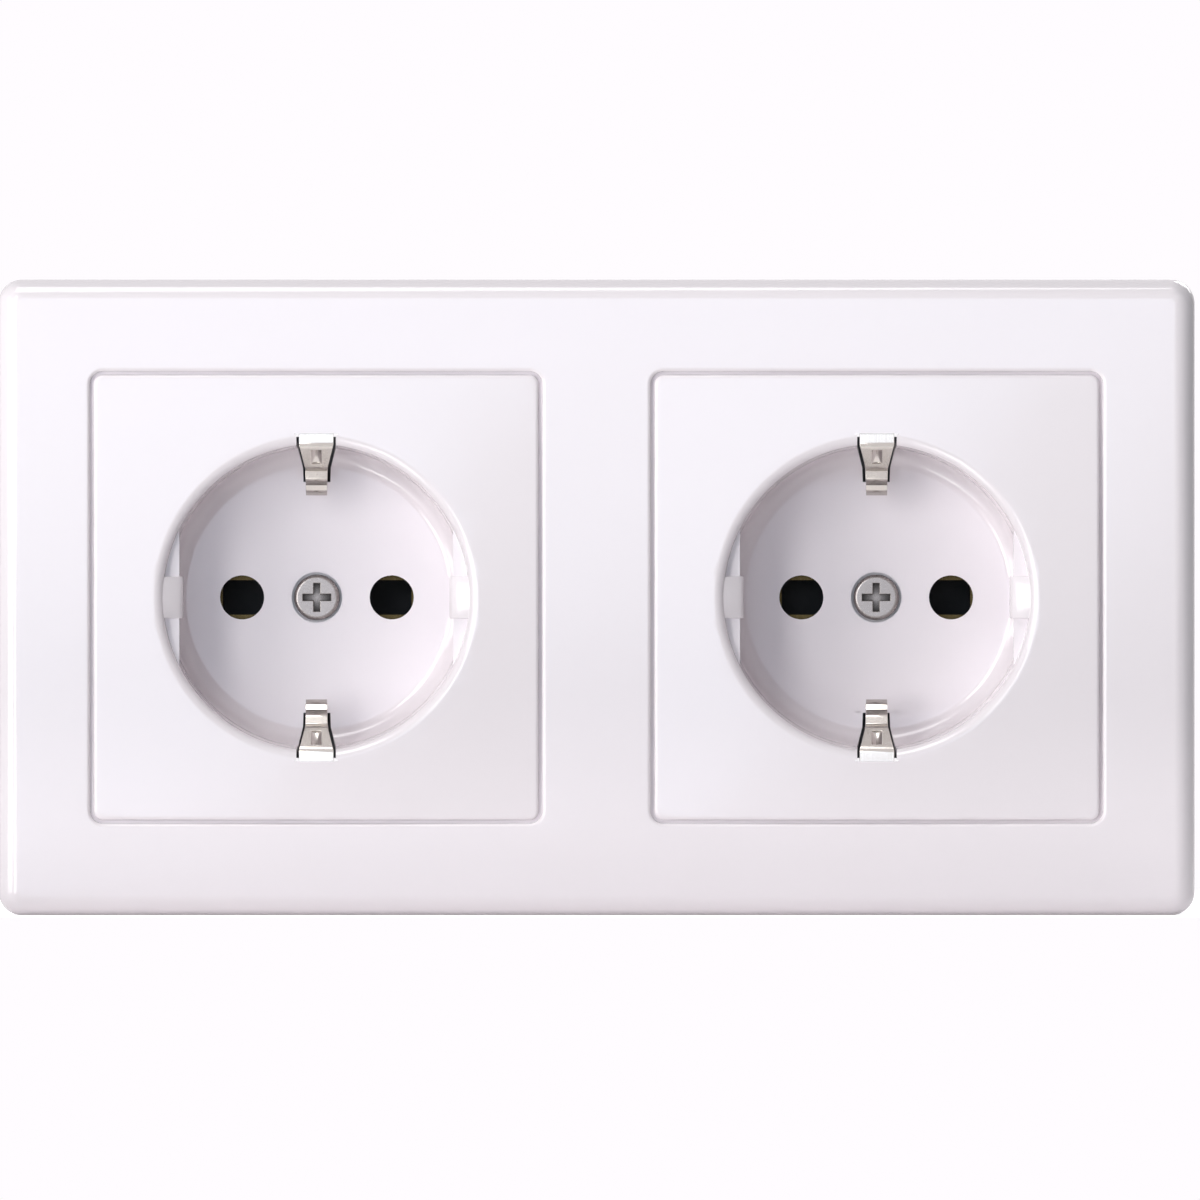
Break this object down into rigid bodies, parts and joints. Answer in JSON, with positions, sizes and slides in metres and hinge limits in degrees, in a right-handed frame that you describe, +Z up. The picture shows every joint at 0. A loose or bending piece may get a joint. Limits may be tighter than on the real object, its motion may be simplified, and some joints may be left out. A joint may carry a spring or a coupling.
{
  "type": "double earthed socket outlet",
  "caption": "Wall socket with side earth contacts: round plug wells in square plates under one shared crowned cover frame, with spreading claws and plug-in wire terminals behind.",
  "frame": {"origin": "centre of the cover frame on the wall's surface", "axes": "+X to the right as seen from the room, +Y into the wall, +Z up; the front faces -Y"},
  "size_m": [0.1516, 0.0419, 0.0804],
  "materials": {
    "white_moulding": "gloss",
    "dark_moulding": "satin",
    "grey_moulding": "satin",
    "green_moulding": "satin",
    "nickel_plated": "bright",
    "zinc_plated": "satin",
    "spring_steel": "bright",
    "brass_sheet": "bright"
  },
  "bodies": {
    "socket": {"cover_frame": "white_moulding", "left_central_plate": "white_moulding", "left_central_screw": "nickel_plated", "left_support_ring": "zinc_plated", "left_ring_rivets": "zinc_plated", "left_contact_carrier": "dark_moulding", "left_terminal_cover": "dark_moulding", "left_housing_rivets": "zinc_plated", "left_earth_bracket": "nickel_plated", "left_earth_terminal": "brass_sheet", "left_line_contact": "brass_sheet", "left_neutral_contact": "brass_sheet", "left_line_clamp_spring": "spring_steel", "left_neutral_clamp_spring": "spring_steel", "left_earth_clamp_spring": "spring_steel", "right_central_plate": "white_moulding", "right_central_screw": "nickel_plated", "right_support_ring": "zinc_plated", "right_ring_rivets": "zinc_plated", "right_contact_carrier": "dark_moulding", "right_terminal_cover": "dark_moulding", "right_housing_rivets": "zinc_plated", "right_earth_bracket": "nickel_plated", "right_earth_terminal": "brass_sheet", "right_line_contact": "brass_sheet", "right_neutral_contact": "brass_sheet", "right_line_clamp_spring": "spring_steel", "right_neutral_clamp_spring": "spring_steel", "right_earth_clamp_spring": "spring_steel"},
    "left_outer_claw_screw": {"left_outer_claw_screw": "zinc_plated"},
    "left_outer_claw_nut": {"left_outer_claw_nut": "zinc_plated"},
    "left_outer_claw": {"left_outer_claw": "zinc_plated"},
    "left_inner_claw_screw": {"left_inner_claw_screw": "zinc_plated"},
    "left_inner_claw_nut": {"left_inner_claw_nut": "zinc_plated"},
    "left_inner_claw": {"left_inner_claw": "zinc_plated"},
    "left_line_release_button": {"left_line_release_button": "grey_moulding"},
    "left_neutral_release_button": {"left_neutral_release_button": "grey_moulding"},
    "left_earth_release_button": {"left_earth_release_button": "green_moulding"},
    "right_outer_claw_screw": {"right_outer_claw_screw": "zinc_plated"},
    "right_outer_claw_nut": {"right_outer_claw_nut": "zinc_plated"},
    "right_outer_claw": {"right_outer_claw": "zinc_plated"},
    "right_inner_claw_screw": {"right_inner_claw_screw": "zinc_plated"},
    "right_inner_claw_nut": {"right_inner_claw_nut": "zinc_plated"},
    "right_inner_claw": {"right_inner_claw": "zinc_plated"},
    "right_line_release_button": {"right_line_release_button": "grey_moulding"},
    "right_neutral_release_button": {"right_neutral_release_button": "grey_moulding"},
    "right_earth_release_button": {"right_earth_release_button": "green_moulding"}
  },
  "joints": [
    {"name": "left_outer_claw_screw_turn", "type": "hinge", "parent": "socket", "child": "left_outer_claw_screw", "pos_m": [-0.0621, 0, 0], "axis": [0, 1, 0], "range_deg": [0, 1095.48]},
    {"name": "left_outer_claw_nut_travel", "type": "slide", "parent": "socket", "child": "left_outer_claw_nut", "axis": [0, -1, 0], "range_m": [0, 0.00152]},
    {"name": "left_outer_claw_swing", "type": "hinge", "parent": "socket", "child": "left_outer_claw", "pos_m": [-0.0585, 0.0046, 0], "axis": [0, 0, 1], "range_deg": [0, 25]},
    {"name": "left_inner_claw_screw_turn", "type": "hinge", "parent": "socket", "child": "left_inner_claw_screw", "pos_m": [-0.0089, 0, 0], "axis": [0, 1, 0], "range_deg": [0, 1095.48]},
    {"name": "left_inner_claw_nut_travel", "type": "slide", "parent": "socket", "child": "left_inner_claw_nut", "axis": [0, -1, 0], "range_m": [0, 0.00152]},
    {"name": "left_inner_claw_swing", "type": "hinge", "parent": "socket", "child": "left_inner_claw", "pos_m": [-0.0125, 0.0046, 0], "axis": [0, 0, -1], "range_deg": [0, 25]},
    {"name": "left_line_release", "type": "slide", "parent": "socket", "child": "left_line_release_button", "axis": [0, -1, 0], "range_m": [0, 0.0012], "stiffness_N_per_m": 1000, "deforming": ["left_line_clamp_spring"]},
    {"name": "left_neutral_release", "type": "slide", "parent": "socket", "child": "left_neutral_release_button", "axis": [0, -1, 0], "range_m": [0, 0.0012], "stiffness_N_per_m": 1000, "deforming": ["left_neutral_clamp_spring"]},
    {"name": "left_earth_release", "type": "slide", "parent": "socket", "child": "left_earth_release_button", "axis": [0, -1, 0], "range_m": [0, 0.0012], "stiffness_N_per_m": 1000, "deforming": ["left_earth_clamp_spring"]},
    {"name": "right_outer_claw_screw_turn", "type": "hinge", "parent": "socket", "child": "right_outer_claw_screw", "pos_m": [0.0621, 0, 0], "axis": [0, 1, 0], "range_deg": [0, 1095.48]},
    {"name": "right_outer_claw_nut_travel", "type": "slide", "parent": "socket", "child": "right_outer_claw_nut", "axis": [0, -1, 0], "range_m": [0, 0.00152]},
    {"name": "right_outer_claw_swing", "type": "hinge", "parent": "socket", "child": "right_outer_claw", "pos_m": [0.0585, 0.0046, 0], "axis": [0, 0, -1], "range_deg": [0, 25]},
    {"name": "right_inner_claw_screw_turn", "type": "hinge", "parent": "socket", "child": "right_inner_claw_screw", "pos_m": [0.0089, 0, 0], "axis": [0, 1, 0], "range_deg": [0, 1095.48]},
    {"name": "right_inner_claw_nut_travel", "type": "slide", "parent": "socket", "child": "right_inner_claw_nut", "axis": [0, -1, 0], "range_m": [0, 0.00152]},
    {"name": "right_inner_claw_swing", "type": "hinge", "parent": "socket", "child": "right_inner_claw", "pos_m": [0.0125, 0.0046, 0], "axis": [0, 0, 1], "range_deg": [0, 25]},
    {"name": "right_line_release", "type": "slide", "parent": "socket", "child": "right_line_release_button", "axis": [0, -1, 0], "range_m": [0, 0.0012], "stiffness_N_per_m": 1000, "deforming": ["right_line_clamp_spring"]},
    {"name": "right_neutral_release", "type": "slide", "parent": "socket", "child": "right_neutral_release_button", "axis": [0, -1, 0], "range_m": [0, 0.0012], "stiffness_N_per_m": 1000, "deforming": ["right_neutral_clamp_spring"]},
    {"name": "right_earth_release", "type": "slide", "parent": "socket", "child": "right_earth_release_button", "axis": [0, -1, 0], "range_m": [0, 0.0012], "stiffness_N_per_m": 1000, "deforming": ["right_earth_clamp_spring"]}
  ],
  "couplings": [
    {"joint": "left_outer_claw_nut_travel", "follows": "left_outer_claw_swing", "m_per_rad": 0.0034869},
    {"joint": "left_outer_claw_screw_turn", "follows": "left_outer_claw_swing", "ratio": 43.817},
    {"joint": "left_inner_claw_nut_travel", "follows": "left_inner_claw_swing", "m_per_rad": 0.0034869},
    {"joint": "left_inner_claw_screw_turn", "follows": "left_inner_claw_swing", "ratio": 43.817},
    {"joint": "right_outer_claw_nut_travel", "follows": "right_outer_claw_swing", "m_per_rad": 0.0034869},
    {"joint": "right_outer_claw_screw_turn", "follows": "right_outer_claw_swing", "ratio": 43.817},
    {"joint": "right_inner_claw_nut_travel", "follows": "right_inner_claw_swing", "m_per_rad": 0.0034869},
    {"joint": "right_inner_claw_screw_turn", "follows": "right_inner_claw_swing", "ratio": 43.817}
  ]
}
